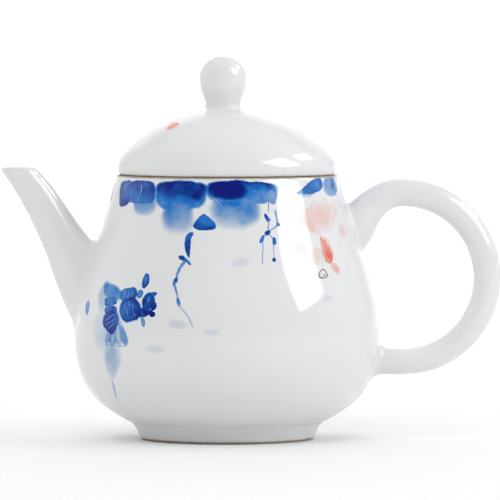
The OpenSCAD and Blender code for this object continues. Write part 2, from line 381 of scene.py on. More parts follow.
class Weave:
    """Adds nodes to a tree and links them as it goes."""

    def __init__(self, tree):
        self.tree = tree

    def node(self, kind, **settings):
        made = self.tree.nodes.new(kind)
        for key, value in settings.items():
            setattr(made, key, value)
        return made

    def feed(self, socket, value):
        if isinstance(value, bpy.types.NodeSocket):
            self.tree.links.new(value, socket)
        elif value is not None:
            socket.default_value = value

    def math(self, operation, a, b=None, c=None, clamp=False):
        made = self.node("ShaderNodeMath", operation=operation, use_clamp=clamp)
        for socket, value in zip(made.inputs, (a, b, c)):
            self.feed(socket, value)
        return made.outputs[0]

    def vector(self, operation, a, b=None, scale=None):
        made = self.node("ShaderNodeVectorMath", operation=operation)
        self.feed(made.inputs[0], a)
        self.feed(made.inputs[1], b)
        if scale is not None:
            self.feed(made.inputs["Scale"], scale)
        return made.outputs["Value"] if operation in ("LENGTH", "DOT_PRODUCT") else made.outputs["Vector"]

    def split(self, vector):
        made = self.node("ShaderNodeSeparateXYZ")
        self.feed(made.inputs[0], vector)
        return made.outputs[0], made.outputs[1], made.outputs[2]

    def gather(self, x=0.0, y=0.0, z=0.0):
        made = self.node("ShaderNodeCombineXYZ")
        for socket, value in zip(made.inputs, (x, y, z)):
            self.feed(socket, value)
        return made.outputs[0]

    def turned(self, i, length, width):
        """Where the current place falls along and across a turned mark, in units of its half sizes.

        It leans on the ink below by next to nothing, so that long rows of marks are
        worked out one after another and don't fill the shader's memory."""
        across = self.math("MULTIPLY_ADD", i["Under"], 1e-7, i["Across"])
        across = self.math("SUBTRACT", across, i["Middle across"])
        up = self.math("MULTIPLY_ADD", i["Under"], 1e-7, i["Up"])
        up = self.math("SUBTRACT", up, i["Middle up"])
        cosine, sine = self.math("COSINE", i["Turn"]), self.math("SINE", i["Turn"])
        x = self.math("MULTIPLY", up, self.math("DIVIDE", sine, length))
        x = self.math("MULTIPLY_ADD", across, self.math("DIVIDE", cosine, length), x)
        y = self.math("MULTIPLY", across, self.math("DIVIDE", sine, width))
        y = self.math("SUBTRACT", self.math("MULTIPLY", up, self.math("DIVIDE", cosine, width)), y)
        return x, y

    def lay_over(self, i, out, mask, tone):
        """Lays the mark's ink, in its tones, over the ink under it."""
        step = self.math("SUBTRACT", self.math("MULTIPLY", i["Ink"], tone), i["Under"])
        self.feed(out["Over"], self.math("ADD", i["Under"], self.math("MULTIPLY", mask, step)))

    def ease(self, value, low, high, to_low=0.0, to_high=1.0):
        made = self.node("ShaderNodeMapRange", interpolation_type="SMOOTHSTEP")
        for socket, item in zip(made.inputs, (value, low, high, to_low, to_high)):
            self.feed(socket, item)
        return made.outputs[0]

    def noise(self, vector, scale, detail=2.0, rough=0.5):
        made = self.node("ShaderNodeTexNoise")
        self.feed(made.inputs["Vector"], vector)
        made.inputs["Scale"].default_value = scale
        made.inputs["Detail"].default_value = detail
        made.inputs["Roughness"].default_value = rough
        return made.outputs["Fac"], made.outputs["Color"]

    def ramp(self, value, stops):
        made = self.node("ShaderNodeValToRGB")
        elements = made.color_ramp.elements
        while len(elements) < len(stops):
            elements.new(0.5)
        for element, (place, colour) in zip(elements, stops):
            element.position = place
            element.color = (*colour, 1.0)
        self.feed(made.inputs[0], value)
        return made.outputs[0]

    def blend(self, factor, a, b, mode="MIX"):
        made = self.node("ShaderNodeMix", data_type="RGBA", blend_type=mode)
        self.feed(made.inputs[0], factor)
        self.feed(made.inputs[6], (*a, 1.0) if isinstance(a, tuple) else a)
        self.feed(made.inputs[7], (*b, 1.0) if isinstance(b, tuple) else b)
        return made.outputs[2]


PLACE = {"Across": 0.0, "Up": 0.0, "Under": 0.0, "Middle across": 0.0, "Middle up": 0.0, "Turn": 0.0}


def mark_of(name, shape):
    """A new node group for one kind of mark, with its sockets, its weave and its ends."""
    tree = bpy.data.node_groups.new(name, "ShaderNodeTree")
    for label, value in {**PLACE, **shape}.items():
        tree.interface.new_socket(label, in_out="INPUT", socket_type="NodeSocketFloat").default_value = value
    tree.interface.new_socket("Over", in_out="OUTPUT", socket_type="NodeSocketFloat")
    ins, outs = tree.nodes.new("NodeGroupInput"), tree.nodes.new("NodeGroupOutput")
    return tree, Weave(tree), ins.outputs, outs.inputs


def brush_dab():
    """One press of a loaded brush: an oval that can be bent, tapered and squared.

    It lays its ink over what is under it, a little darker where the wash pools
    at its edge."""
    shape = {
        "Half length": 1.0,
        "Half width": 1.0,
        "Bend": 0.0,
        "Taper": 0.0,
        "Square": 2.0,
        "Soft": 0.3,
        "Ink": 1.0,
        "Hollow": 0.0,
        "Shade": 0.0,
    }
    tree, w, i, out = mark_of("Brush dab", shape)
    x, y = w.turned(i, i["Half length"], i["Half width"])
    bow = w.math("MULTIPLY", i["Bend"], w.math("SUBTRACT", w.math("MULTIPLY", x, x), 0.4))
    y = w.math("ADD", y, bow)
    y = w.math("DIVIDE", y, w.math("MAXIMUM", w.math("MULTIPLY_ADD", i["Taper"], x, 1.0), 0.05))
    px = w.math("POWER", w.math("ABSOLUTE", x), i["Square"])
    py = w.math("POWER", w.math("ABSOLUTE", y), i["Square"])
    far = w.math("ADD", px, py)
    mask = w.ease(far, w.math("SUBTRACT", 1.0, i["Soft"]), 1.12, 1.0, 0.0)
    core = w.math("MULTIPLY", w.ease(far, 0.25, 0.8, 1.0, 0.0), i["Hollow"])
    mask = w.math("MULTIPLY", mask, w.math("SUBTRACT", 1.0, core))
    pool = w.math("MULTIPLY_ADD", w.ease(far, 0.2, 0.95), 0.18, 0.9)
    lit = w.math("MINIMUM", w.math("MAXIMUM", w.math("MULTIPLY_ADD", i["Shade"], y, 1.0), 0.0), 1.3)
    w.lay_over(i, out, mask, w.math("MULTIPLY", pool, lit))
    return tree


def brush_fan():
    """A spread of strokes from one point, as in a fish's tail or fin."""
    tree, w, i, out = mark_of("Brush fan", {"Reach": 8.0, "Spread": 0.6, "Rays": 9.0, "Ink": 0.5})
    x, y = w.turned(i, i["Reach"], i["Reach"])
    far = w.math("SQRT", w.math("ADD", w.math("MULTIPLY", x, x), w.math("MULTIPLY", y, y)))
    lean = w.math("DIVIDE", w.math("ARCTAN2", y, x), i["Spread"])
    wave = w.math("COSINE", w.math("MULTIPLY", lean, i["Rays"]))
    edge = w.math("MULTIPLY_ADD", wave, 0.05, far)
    ends = w.math("MULTIPLY", w.ease(edge, 0.9, 1.02, 1.0, 0.0), w.ease(far, 0.12, 0.3))
    sides = w.ease(w.math("ABSOLUTE", lean), 0.82, 1.0, 1.0, 0.0)
    rays = w.math("MULTIPLY_ADD", wave, 0.22, 0.78)
    pool = w.math("MULTIPLY_ADD", w.ease(far, 0.7, 1.0), 0.25, 0.85)
    w.lay_over(i, out, w.math("MULTIPLY", ends, sides), w.math("MULTIPLY", rays, pool))
    return tree


class Brush:
    """Lays marks one over another on the unrolled pot, in millimetres round and up it."""

    def __init__(self, w, flat, dab, fan):
        self.w, self.dab_tree, self.fan_tree = w, dab, fan
        self.across, self.up, _ = flat
        self.ink = 0.0

    def _lay(self, tree, x, y, turn, values):
        made = self.w.node("ShaderNodeGroup", node_tree=tree)
        self.w.feed(made.inputs["Across"], self.across)
        self.w.feed(made.inputs["Up"], self.up)
        self.w.feed(made.inputs["Under"], self.ink)
        made.inputs["Middle across"].default_value = x
        made.inputs["Middle up"].default_value = y
        made.inputs["Turn"].default_value = math.radians(turn)
        for key, value in values.items():
            made.inputs[key].default_value = value
        self.ink = made.outputs["Over"]

    def dab(self, x, y, turn, length, width, ink, **shape):
        values = {"Half length": length, "Half width": width, "Ink": ink}
        values.update({word.capitalize(): value for word, value in shape.items()})
        self._lay(self.dab_tree, x, y, turn, values)

    def stroke(self, x1, y1, x2, y2, width, ink, bow=0.0, taper=0.0):
        """A line drawn from one place to another. bow is how far its middle stands off, in millimetres."""
        length = math.hypot(x2 - x1, y2 - y1) / 2
        turn = math.degrees(math.atan2(y2 - y1, x2 - x1))
        x, y = (x1 + x2) / 2, (y1 + y2) / 2
        self.dab(x, y, turn, length * 1.04, width, ink, bend=bow / width, taper=taper, square=3.0, soft=0.5)

    def fan(self, x, y, turn, reach, spread, rays, ink):
        values = {"Reach": reach, "Spread": math.radians(spread), "Rays": rays, "Ink": ink}
        self._lay(self.fan_tree, x, y, turn, values)


# ---------------------------------------------------------------- painting


def paint_leaves(b):
    """Lotus leaves that hang from the rim, dark above and washed out below."""
    # first leaf, at the far left
    b.dab(-26.8, 71.2, 0, 5.0, 3.6, 0.42, square=2.4, soft=0.7, shade=0.6)
    b.dab(-31.8, 74.8, 0, 9.3, 3.5, 0.80, square=4.5, soft=0.35, shade=0.32)
    b.dab(-37.2, 74.0, 0, 3.3, 3.8, 0.90, square=4.0, soft=0.45)
    b.stroke(-28.2, 77.2, -30.2, 71.0, 0.22, 0.42, bow=0.5)
    # second leaf
    b.dab(-14.7, 68.0, 0, 5.6, 6.2, 0.46, square=2.3, soft=0.75, shade=0.70)
    b.dab(-14.2, 74.2, 0, 8.6, 4.3, 0.80, square=3.4, soft=0.4, shade=0.42)
    b.dab(-8.6, 74.6, 0, 2.0, 2.8, 0.96, soft=0.9)
    # third leaf
    b.dab(2.6, 69.5, 0, 7.8, 5.6, 0.50, square=2.4, soft=0.7, shade=0.65)
    b.dab(5.0, 75.0, 0, 11.0, 3.4, 0.72, square=3.6, soft=0.35, shade=0.30)
    b.dab(0.0, 75.6, 0, 6.4, 2.9, 1.08, square=2.8, soft=0.8)
    b.dab(14.0, 73.6, -78, 2.6, 1.5, 0.50, soft=0.6)
    b.stroke(-5.2, 73.7, -0.2, 69.8, 0.18, 0.44, bow=0.8)
    # a turned leaf tip below it
    b.dab(-6.5, 66.5, 90, 2.4, 2.9, 0.84, taper=-0.7, square=2.6, soft=0.25)
    # leaves that go round to the right
    b.dab(18.3, 77.4, 4, 3.4, 1.3, 0.10, soft=0.9)
    b.dab(27.0, 75.0, 14, 5.6, 1.7, 0.24, soft=0.9)
    b.dab(28.0, 76.2, 17, 5.8, 1.8, 0.68, taper=0.75, square=2.6, soft=0.35)
    b.dab(38.8, 76.2, 0, 5.2, 3.0, 0.42, square=3.0, soft=0.6)
    b.dab(40.4, 77.0, 84, 1.7, 1.3, 0.76, soft=0.6)
    # round the back
    for middle, width, deep in (
        (57.0, 8.6, 0.86),
        (75.5, 8.6, 0.76),
        (92.0, 6.8, 0.90),
        (-56.5, 8.6, 0.88),
        (-73.5, 7.6, 0.78),
        (-91.0, 8.2, 0.90),
    ):
        b.dab(middle - 1.0, 69.2, 0, 0.7 * width, 5.4, 0.46, square=2.4, soft=0.7, shade=0.65)
        b.dab(middle, 74.7, 0, width + 0.4, 3.7, deep, square=3.8, soft=0.35, shade=0.36)
        b.dab(middle + 0.5 * width, 75.2, 0, 2.4, 2.7, 1.0, soft=0.8)
        b.stroke(middle - 1.0, 77.4, middle - 3.4, 71.0, 0.2, 0.42, bow=0.5)


def paint_stems(b):
    """The lotus stem under the second leaf and its buds."""
    b.stroke(-10.9, 63.3, -11.9, 56.4, 0.90, 0.84, bow=-1.1, taper=-0.3)
    b.stroke(-13.6, 56.4, -10.9, 54.4, 0.50, 0.66)
    b.dab(-13.4, 55.9, 35, 0.9, 0.7, 0.98)
    b.stroke(-12.4, 56.0, -15.7, 49.4, 0.42, 0.60, bow=-0.6)
    b.dab(-15.4, 49.0, 75, 1.3, 0.6, 0.84)
    b.stroke(-15.7, 49.3, -14.7, 44.6, 0.30, 0.58, bow=0.2)
    b.dab(-14.3, 43.4, 105, 1.5, 0.62, 0.76)
    b.stroke(-14.2, 43.0, -9.7, 35.5, 0.22, 0.30, bow=0.4)
    for x, y, turn in ((84.0, 57.0, 60), (88.0, 50.0, 110), (-82.0, 55.0, 70)):
        b.stroke(x, y + 10, x + 1, y - 8, 0.4, 0.62, bow=1.2)
        b.dab(x + 2.2, y + 2, turn, 1.8, 0.9, 0.6)
        b.dab(x - 1.2, y - 5, 180 - turn, 1.6, 0.8, 0.5)


def paint_duckweed(b):
    """Fine strings with little leaves, between the two fish."""
    b.stroke(13.1, 72.2, 12.8, 68.8, 0.20, 0.55)
    b.dab(12.0, 67.6, -58, 1.3, 0.6, 0.88)
    b.dab(12.7, 66.6, 10, 0.8, 0.4, 0.72)
    b.stroke(12.6, 66.6, 12.2, 63.6, 0.19, 0.60)
    b.stroke(15.0, 70.0, 15.9, 65.5, 0.26, 0.60, bow=0.2)
    b.stroke(15.9, 65.3, 12.4, 63.4, 0.19, 0.55)
    b.dab(15.9, 65.3, 0, 0.6, 0.55, 0.86)
    b.dab(12.3, 63.2, 25, 1.0, 0.75, 0.94)
    b.stroke(12.0, 62.9, 10.5, 61.3, 0.17, 0.50)
    b.dab(10.4, 61.4, 65, 1.4, 0.6, 0.72)
    b.stroke(10.5, 60.8, 10.8, 54.2, 0.17, 0.46)
    b.stroke(12.6, 63.0, 14.3, 60.8, 0.15, 0.40)
    b.dab(14.4, 60.6, 100, 1.1, 0.65, 0.74)
    b.stroke(14.4, 60.2, 14.3, 55.6, 0.17, 0.44)
    b.dab(14.3, 55.5, 0, 0.65, 0.65, 0.84)


def paint_ripples(b):
    """Faint grey-blue water smudges."""
    for x, y, turn, length, width, ink in (
        (4.1, 54.7, 4, 3.4, 1.5, 0.09),
        (-14.6, 36.8, -3, 3.2, 1.6, 0.13),
        (-22.0, 29.2, -3, 4.0, 1.5, 0.12),
        (-4.4, 34.2, 4, 2.8, 1.2, 0.10),
        (31.0, 44.0, -6, 4.6, 1.3, 0.06),
        (70.0, 40.0, 5, 5.0, 1.6, 0.09),
        (-100.0, 44.0, 5, 5.0, 1.6, 0.09),
    ):
        b.dab(x, y, turn, length, width, ink, bend=0.3, soft=0.95)


def paint_blue_fish(b):
    """A dark goldfish that swims to the right, seen from above, with a split tail."""
    # the veils of its tail
    b.dab(-43.0, 34.4, 76, 7.0, 5.2, 0.16, soft=0.95)
    b.dab(-43.2, 43.6, 80, 4.4, 3.4, 0.24, soft=0.95)
    b.dab(-38.4, 25.0, 90, 6.2, 4.4, 0.30, taper=0.45, soft=0.9)
    b.stroke(-38.8, 19.2, -37.9, 13.6, 0.5, 0.30)
    b.fan(-37.0, 42.6, -87, 13.2, 27, 13, 0.46)
    b.dab(-33.2, 32.6, -72, 3.4, 1.6, 0.62, soft=0.8)
    b.stroke(-41.6, 29.9, -32.6, 29.5, 0.2, 0.34)
    # its tail, in pressed petals with pale veins
    b.dab(-38.8, 45.6, -20, 5.4, 2.6, 0.62, soft=0.65)
    b.dab(-39.2, 42.7, 2, 2.9, 1.35, 0.82, square=3.2)
    b.dab(-38.9, 40.2, 0, 3.1, 1.15, 0.76, square=3.2)
    b.dab(-38.7, 36.4, -80, 3.6, 3.6, 0.88, taper=-0.45)
    for step in (0.0, 1.3, 2.6):
        b.stroke(-41.4 + 0.5 * step, 37.2 - step, -37.0, 38.9 - step, 0.16, 0.42)
    for across in (-40.3, -39.1):
        b.stroke(across, 44.0, across + 0.1, 41.6, 0.12, 0.5)
    # its back fin
    b.dab(-31.6, 44.8, 12, 3.8, 2.0, 0.74, square=2.4)
    for across in (-33.2, -31.7, -30.2):
        b.stroke(across - 0.5, 43.8, across + 0.3, 46.0, 0.15, 0.42)
    b.dab(-27.0, 45.2, 60, 1.4, 1.0, 0.56)
    # its body, hatched with scales
    b.dab(-30.8, 40.6, 20, 4.2, 3.5, 0.96, square=2.2)
    for across, up in ((-33.0, 41.4), (-31.4, 42.2), (-30.0, 41.2), (-31.8, 39.8), (-29.4, 39.6)):
        b.stroke(across, up + 0.9, across + 0.5, up - 0.9, 0.15, 0.60)
    # its head
    b.dab(-25.5, 40.1, 22, 2.5, 1.5, 0.88)
    b.dab(-24.0, 42.7, 80, 3.4, 2.3, 0.98)
    b.dab(-22.4, 45.5, 20, 1.4, 0.8, 0.94)
    b.dab(-22.0, 41.9, 70, 1.3, 0.8, 0.98)
    b.dab(-22.7, 39.6, 30, 1.1, 0.8, 0.96)
    b.dab(-23.9, 43.6, 78, 0.9, 0.3, 0.48)
    b.dab(-23.3, 41.0, 40, 0.6, 0.28, 0.48)
    # the loose petals round it
    b.dab(-26.3, 37.2, -80, 1.8, 0.8, 0.38)
    b.dab(-25.4, 49.3, 75, 2.3, 1.3, 0.82)
    b.stroke(-25.7, 48.2, -25.2, 50.4, 0.14, 0.50)
    b.dab(-52.6, 40.6, 80, 2.3, 1.7, 0.42, soft=0.5)


def paint_red_fish(b):
    """The red of a goldfish with its head down and its tail spread above."""
    b.fan(33.0, 60.0, 98, 13.0, 58, 15, 0.26)
    b.dab(27.0, 65.8, 122, 4.2, 1.7, 0.38, soft=0.9)
    b.dab(32.6, 67.8, 0, 5.4, 3.8, 0.34, soft=0.95)
    b.dab(43.0, 62.9, 80, 2.6, 2.8, 0.34, soft=0.9)
    b.dab(23.4, 58.8, -30, 2.5, 1.5, 0.28, soft=0.8)
    b.dab(28.5, 56.4, 60, 3.0, 2.3, 0.26, soft=0.85)
    b.dab(36.9, 52.5, -42, 2.5, 1.4, 0.48, soft=0.7)
    b.dab(33.4, 57.8, -62, 4.4, 2.7, 0.56, taper=0.3, soft=0.8)
    b.dab(34.2, 56.0, -60, 2.4, 1.8, 0.80, soft=0.6)
    b.stroke(30.8, 61.6, 32.6, 57.4, 0.42, 0.80)
    b.stroke(32.3, 60.6, 34.2, 55.6, 0.44, 0.98)
    b.stroke(34.0, 59.0, 35.8, 55.0, 0.40, 0.90)
    b.stroke(31.6, 58.4, 33.2, 54.4, 0.34, 0.84)


def paint_gold(b):
    """Fine brown-gold outlines on the red fish."""
    b.dab(31.3, 51.2, 90, 1.6, 1.9, 0.97, taper=-0.4, hollow=0.95, soft=0.2)
    b.dab(31.7, 50.8, 25, 0.5, 0.25, 0.85)
    b.stroke(30.8, 60.0, 31.2, 52.8, 0.12, 0.30, bow=0.3)


# ---------------------------------------------------------------- materials


COBALT = [
    (0.0, (1.0, 1.0, 1.0)),
    (0.12, (0.76, 0.83, 0.92)),
    (0.32, (0.27, 0.46, 0.76)),
    (0.56, (0.022, 0.23, 0.72)),
    (0.80, (0.001, 0.07, 0.42)),
    (1.0, (0.0005, 0.010, 0.24)),
]
IRON_RED = [
    (0.0, (1.0, 1.0, 1.0)),
    (0.20, (0.98, 0.84, 0.82)),
    (0.50, (0.98, 0.52, 0.45)),
    (0.80, (0.95, 0.20, 0.13)),
    (1.0, (0.60, 0.05, 0.04)),
]


def porcelain(name, colours, paint=None, bare_and_seam_shade_below=None, bare_and_seam_shade_above=None):
    """Clear-glazed porcelain. Paint is laid under the glaze. Bare clay shows past the given heights; at the
    rim and the lid's seat its warm tan also paints the shade in the seam between pot and lid.
    """
    material = bpy.data.materials.new(name)
    material.use_nodes = True
    tree = material.node_tree
    w = Weave(tree)
    shader = tree.nodes["Principled BSDF"]
    place = w.node("ShaderNodeTexCoord").outputs["Object"]
    broad, _ = w.noise(place, 38.0, 2.0)
    colour = w.blend(w.ease(broad, 0.35, 0.68), tuple(colours.glaze), tuple(colours.glaze_warm))
    speck, _ = w.noise(place, 900.0, 0.0)
    colour = w.blend(w.ease(speck, 0.80, 0.86, 0.0, 0.07), colour, (0.36, 0.33, 0.28))
    if paint:
        colour = paint(w, place, colour, colours)
    rough = w.ease(broad, 0.3, 0.7, 0.07, 0.12)
    if bare_and_seam_shade_below is not None or bare_and_seam_shade_above is not None:
        _, _, z = w.split(place)
        ragged, _ = w.noise(place, 260.0, 2.0)
        z = w.math("MULTIPLY_ADD", w.math("SUBTRACT", ragged, 0.5), 0.0006, z)
        # mask of the bare clay; at the rim and the lid's seat it also paints the seam's shade
        bare = None
        if bare_and_seam_shade_below is not None:
            bare = w.ease(z, bare_and_seam_shade_below - 0.00015, bare_and_seam_shade_below + 0.00025, 1.0, 0.0)
        if bare_and_seam_shade_above is not None:
            above = w.ease(z, bare_and_seam_shade_above - 0.0002, bare_and_seam_shade_above + 0.0002)
            bare = above if bare is None else w.math("MAXIMUM", bare, above)
        grit, _ = w.noise(place, 1500.0, 3.0)
        clay = w.blend(grit, tuple(colours.clay_and_seam_shade), tuple(0.8 * c for c in colours.clay_and_seam_shade))
        colour = w.blend(bare, colour, clay)
        rough = w.math("ADD", rough, w.math("MULTIPLY", bare, 0.6), clamp=True)
    w.feed(shader.inputs["Base Color"], colour)
    w.feed(shader.inputs["Roughness"], rough)
    swell, _ = w.noise(place, 60.0, 1.0)
    peel, _ = w.noise(place, 700.0, 1.0)
    height = w.math("MULTIPLY_ADD", peel, 0.03, swell)
    bump = w.node("ShaderNodeBump")
    bump.inputs["Strength"].default_value = 0.10
    bump.inputs["Distance"].default_value = 0.0006
    w.feed(bump.inputs["Height"], height)
    w.feed(shader.inputs["Normal"], bump.outputs[0])
    shader.inputs["IOR"].default_value = 1.46
    return material


def unrolled(w, place):
    """Millimetres round the piece from its front, and up it."""
    x, y, z = w.split(place)
    turn = w.math("ARCTAN2", x, w.math("MULTIPLY", y, -1.0))
    reach = w.vector("LENGTH", w.gather(x, y, 0.0))
    round_it = w.math("MULTIPLY", w.math("MULTIPLY", turn, reach), 1000.0)
    return w.gather(round_it, w.math("MULTIPLY", z, 1000.0), 0.0)


def shaken(w, place, flat):
    """The unrolled place with a hand's small wobble and slow drift."""
    _, wobble = w.noise(place, 420.0, 2.0)
    _, drift = w.noise(place, 130.0, 1.0)
    for shake, width in ((wobble, 0.9), (drift, 1.8)):
        aside = w.vector("SUBTRACT", shake, (0.5, 0.5, 0.5))
        flat = w.vector("ADD", flat, w.vector("SCALE", aside, scale=width))
    return flat


def watery(w, place, ink, low, high):
    """Ink that pools and thins like a wet wash."""
    wash, _ = w.noise(place, 330.0, 3.0, 0.6)
    cloud, _ = w.noise(place, 110.0, 2.0)
    both = w.math("MULTIPLY_ADD", cloud, 0.6, w.math("MULTIPLY", wash, 0.4))
    return w.math("MULTIPLY", ink, w.ease(both, 0.34, 0.66, low, high), clamp=True)


def washed(w, place, colour, ink, pigment, low=0.72, high=1.16):
    """The glaze with a pigment's wash under it."""
    return w.blend(1.0, colour, w.ramp(watery(w, place, ink, low, high), pigment), "MULTIPLY")


def pot_painting(w, place, colour, colours):
    flat = w.split(shaken(w, place, unrolled(w, place)))
    dab, fan = brush_dab(), brush_fan()
    blue, red, gold = (Brush(w, flat, dab, fan) for _ in range(3))
    for paint in (paint_ripples, paint_leaves, paint_stems, paint_duckweed, paint_blue_fish):
        paint(blue)
    paint_red_fish(red)
    paint_gold(gold)
    # only the outside is painted, where the surface faces away from the axis
    x, y, z = w.split(place)
    away = w.vector("DOT_PRODUCT", w.node("ShaderNodeTexCoord").outputs["Normal"], w.gather(x, y, 0.0))
    outside = w.ease(away, 0.0, 0.001)
    for brush in (blue, red, gold):
        brush.ink = w.math("MULTIPLY", brush.ink, outside)
    colour = washed(w, place, colour, blue.ink, COBALT)
    colour = washed(w, place, colour, red.ink, IRON_RED, 0.8, 1.1)
    colour = w.blend(gold.ink, colour, tuple(colours.gold))
    # painted shade: a faint grey line round the belly, standing in for the slight crease where the two
    # pieces of the body meet
    off = w.math("ABSOLUTE", w.math("SUBTRACT", z, LOWER_HIGH.z))
    return w.blend(w.ease(off, 0.00005, 0.00025, 0.05, 0.0), colour, (0.45, 0.46, 0.47))


def lid_painting(w, place, colour, colours):
    """One small red petal on the shoulder of the lid."""
    dab = bpy.data.node_groups.get("Brush dab") or brush_dab()
    red = Brush(w, w.split(unrolled(w, place)), dab, None)
    red.dab(-18.5, 94.2, 14, 3.6, 1.35, 0.34, soft=0.8)
    red.dab(-18.2, 94.3, 14, 2.6, 0.75, 0.92, bend=0.4, taper=-0.4)
    return washed(w, place, colour, red.ink, IRON_RED)


# ---------------------------------------------------------------- operators


class TEAPOT_OT_pot(Operator):
    """Throw the pot: its belly, floor, rim and foot ring"""

    bl_idname = "teapot.pot"
    bl_label = "Pot and Foot Ring"

    def execute(self, context):
        s, c = context.scene.teapot_sizes, context.scene.teapot_colours
        top, mouth = s.rim_height, s.neck_radius - s.rim_width
        side = pot_side(s)
        inner = beside(side, s.wall)
        ledge = top - s.flange_depth - 1 * MM
        floor = s.foot_height + 3 * MM
        inside = [p for p in inner if floor + 0.8 * MM < p.y < ledge - 1.2 * MM]
        profile = (
            [(0.0, floor), (0.012, floor + 0.02 * MM), (inside[-1].x - 4.2 * MM, floor + 0.2 * MM)]
            + [(p.x, p.y) for p in reversed(inside)]
            + [
                (mouth + 0.5 * MM, ledge - 0.6 * MM),
                (mouth, ledge + 0.3 * MM),
                (mouth, top - 1.2 * MM),
                (mouth, top - 0.35 * MM),
                (mouth + 0.3 * MM, top),
                (mouth + 0.9 * MM, top),
                (s.neck_radius - 1.0 * MM, top),
                (s.neck_radius - 0.45 * MM, top - 0.08 * MM),
                (s.neck_radius - 0.05 * MM, top - 0.5 * MM),
            ]
            + [(p.x, p.y) for p in side if s.foot_height + 0.3 * MM < p.y < top - 1.2 * MM]
            + [
                (s.foot_radius - 0.5 * MM, s.foot_height + 0.02 * MM),
                (0.015, s.foot_height),
                (0.0, s.foot_height),
            ]
        )
        bm = bmesh.new()
        turn_profile(bm, profile, 144)
        # the bare rim top is also painted shade: its warm tan stands for the seam under the lid
        glaze = porcelain("Painted porcelain", c, paint=pot_painting, bare_and_seam_shade_above=top - 0.45 * MM)
        finish_piece(bm, "Pot", "pot", ["lower_body", "upper_body"], [glaze])

        r, h = s.foot_radius, s.foot_height
        start = radius_at(side, h + 1.3 * MM)
        ring = [
            (start - 0.02 * MM, h + 1.3 * MM),
            (start - 0.9 * MM, h + 0.75 * MM),
            (r - 0.4 * MM, h - 0.05 * MM),
            (r - 1.3 * MM, h - 0.9 * MM),
            (r - 2.0 * MM, h - 2.1 * MM),
            (r - 2.5 * MM, h - 3.2 * MM),
            (r - 2.9 * MM, h - 4.1 * MM),
            (r - 3.3 * MM, 0.45 * MM),
            (r - 3.9 * MM, 0.08 * MM),
            (r - 4.4 * MM, 0.0),
            (r - 5.8 * MM, 0.0),
            (r - 6.4 * MM, 0.12 * MM),
            (r - 6.9 * MM, 0.7 * MM),
            (r - 7.4 * MM, 3.4 * MM),
            (r - 8.0 * MM, h - 0.7 * MM),
            (r - 9.0 * MM, h - 0.15 * MM),
            (r - 10.0 * MM, h - 0.01 * MM),
            (r - 10.0 * MM, h + 0.5 * MM),
            (start - 1.6 * MM, h + 1.0 * MM),
        ]
        bm = bmesh.new()
        turn_profile(bm, ring + ring[:1], 128)
        foot_glaze = porcelain("Foot porcelain", c, bare_and_seam_shade_below=0.75 * MM)
        finish_piece(bm, "Foot_ring", "pot", ["foot_ring"], [foot_glaze])
        return {"FINISHED"}


class TEAPOT_OT_spout(Operator):
    """Lute the spout on, with its channel, its level mouth and the strainer behind it"""

    bl_idname = "teapot.spout"
    bl_label = "Spout and Strainer"

    def execute(self, context):
        s, c = context.scene.teapot_sizes, context.scene.teapot_colours
        side = pot_side(s, 24)
        bowl = s.rim_height - s.foot_height
        port = s.foot_height + 0.55 * bowl
        root = Vector((radius_at(side, port) - 9.6 * MM, s.foot_height + 0.43 * bowl))
        tip = Vector((s.belly_radius + s.spout_reach, s.rim_height + s.spout_rise))
        run, taper = tip - root, s.root_radius - s.tip_radius
        stations = [
            (root.x + a * run.x, root.y + b * run.y, s.tip_radius + t * taper, s.tip_radius + t * taper)
            for a, b, t in (
                (0, 0, 1),
                (0.210, 0.169, 0.66),
                (0.372, 0.339, 0.45),
                (0.528, 0.519, 0.245),
                (0.692, 0.704, 0.13),
                (0.842, 0.858, 0.055),
                (1, 1, 0),
            )
        ]
        path = pass_curve(stations, 8)
        sides = 32
        rings = grown_root(path[:-7], sides, side, 3.2 * MM, steps=6, spans=22)
        end = (path[-1] - path[-3]).xy.normalized()
        along = Vector((end.x, 0, end.y))

        def level(ring, height):
            return [p + along * ((height - p.z) / along.z) for p in ring]

        # the spout's wall is thin at its mouth and thicker towards its root
        ends = len(path) - 1
        walls = [(1.35 + 0.8 * (1 - k / ends)) * MM for k in range(len(path))]
        bore = [ring_of(path, k, sides, grow=-wall) for k, wall in enumerate(walls)]
        lip = ring_of(path, len(path) - 1, sides)
        lip_in = bore[-1]
        z = tip.y
        # over the lip: how far towards its inside, and how many millimetres below the mouth
        over = ((0, 2.2), (0, 1.2), (0.1, 0.5), (0.3, 0.08), (0.6, 0), (0.86, 0.2), (1, 0.6), (1, 2.0))
        for inwards, below in over:
            rings.append(level([a.lerp(b, inwards) for a, b in zip(lip, lip_in)], z - below * MM))
        rings += [bore[k] for k in range(len(path) - 8, 15, -3)]
        for ring in rings:
            for p in ring:
                p.x = -p.x
        bm = bmesh.new()
        join_rings(bm, rings, close_ends=False)
        glaze = porcelain("Spout porcelain", c)
        finish_piece(bm, "Spout", "pot", ["spout"], [glaze])
        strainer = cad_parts["strainer"]
        strainer.data.materials.clear()
        strainer.data.materials.append(porcelain("Strainer porcelain", c))
        return {"FINISHED"}


